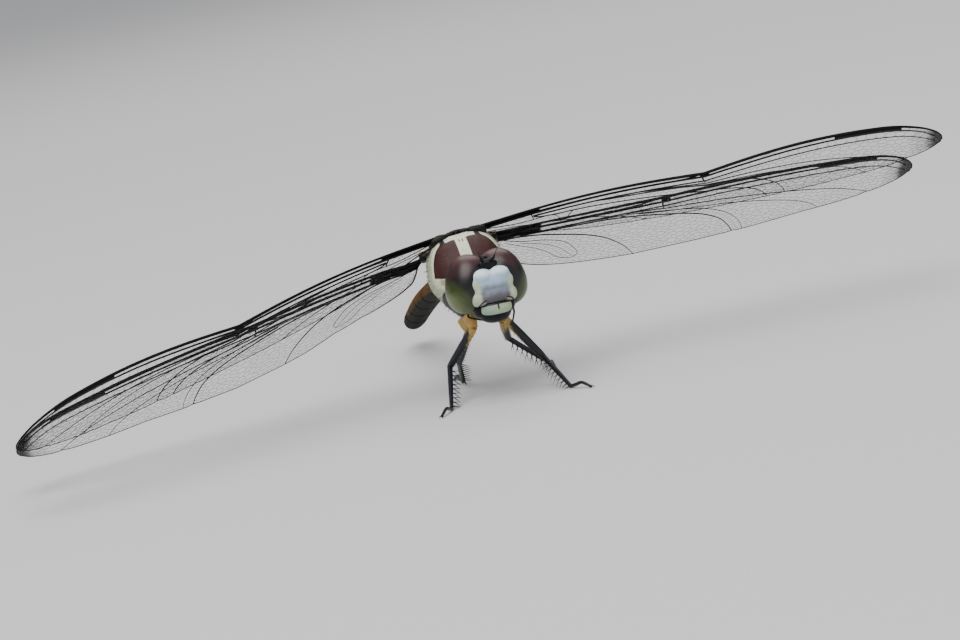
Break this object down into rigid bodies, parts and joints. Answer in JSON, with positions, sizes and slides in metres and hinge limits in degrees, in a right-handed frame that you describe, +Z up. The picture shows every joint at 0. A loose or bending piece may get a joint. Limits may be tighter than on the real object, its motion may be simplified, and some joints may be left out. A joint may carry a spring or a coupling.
{
  "type": "dragonfly model",
  "caption": "Life-size still model of a skimmer dragonfly perched on its legs, with clear wings spread and its long abdomen held off the floor.",
  "frame": {"origin": "on the floor, under the middle of the animal's box", "axes": "+Z up; the animal faces -Y and its left side is at +X"},
  "size_m": [0.0986, 0.055, 0.0188],
  "materials": {
    "eye": "glossy compound eye, red brown over olive green",
    "face": "smooth bluish white cuticle, satin",
    "lip": "smooth pale green cuticle",
    "black_cuticle": "black cuticle, satin",
    "thorax": "red brown cuticle with cream bands and fine hairs",
    "abdomen": "amber cuticle with a black stripe along the back",
    "wing": "clear, faintly smoky membrane with dark veins",
    "leg": "black cuticle with bristles",
    "coxa": "tan cuticle"
  },
  "bodies": {
    "root": {"abdomen_01": "abdomen", "abdomen_02": "abdomen", "abdomen_03": "abdomen", "abdomen_04": "abdomen", "abdomen_05": "abdomen", "abdomen_06": "abdomen", "abdomen_07": "abdomen", "abdomen_08": "abdomen", "abdomen_09": "abdomen", "abdomen_10": "abdomen", "antenna_left": "black_cuticle", "antenna_right": "black_cuticle", "cercus_left": "black_cuticle", "cercus_right": "black_cuticle", "clypeus": "face", "coxa_fore_left": "coxa", "coxa_fore_right": "coxa", "coxa_hind_left": "coxa", "coxa_hind_right": "coxa", "coxa_mid_left": "coxa", "coxa_mid_right": "coxa", "eye_left": "eye", "eye_right": "eye", "femur_fore_left": "leg", "femur_fore_right": "leg", "femur_hind_left": "leg", "femur_hind_right": "leg", "femur_mid_left": "leg", "femur_mid_right": "leg", "forewing_left": "wing", "forewing_right": "wing", "frons": "face", "head_capsule": "black_cuticle", "hindwing_left": "wing", "hindwing_right": "wing", "labium": "black_cuticle", "labrum": "lip", "neck": "black_cuticle", "prothorax": "thorax", "tarsus_fore_left": "leg", "tarsus_fore_right": "leg", "tarsus_hind_left": "leg", "tarsus_hind_right": "leg", "tarsus_mid_left": "leg", "tarsus_mid_right": "leg", "thorax": "thorax", "tibia_fore_left": "leg", "tibia_fore_right": "leg", "tibia_hind_left": "leg", "tibia_hind_right": "leg", "tibia_mid_left": "leg", "tibia_mid_right": "leg", "vertex": "black_cuticle"}
  },
  "joints": []
}
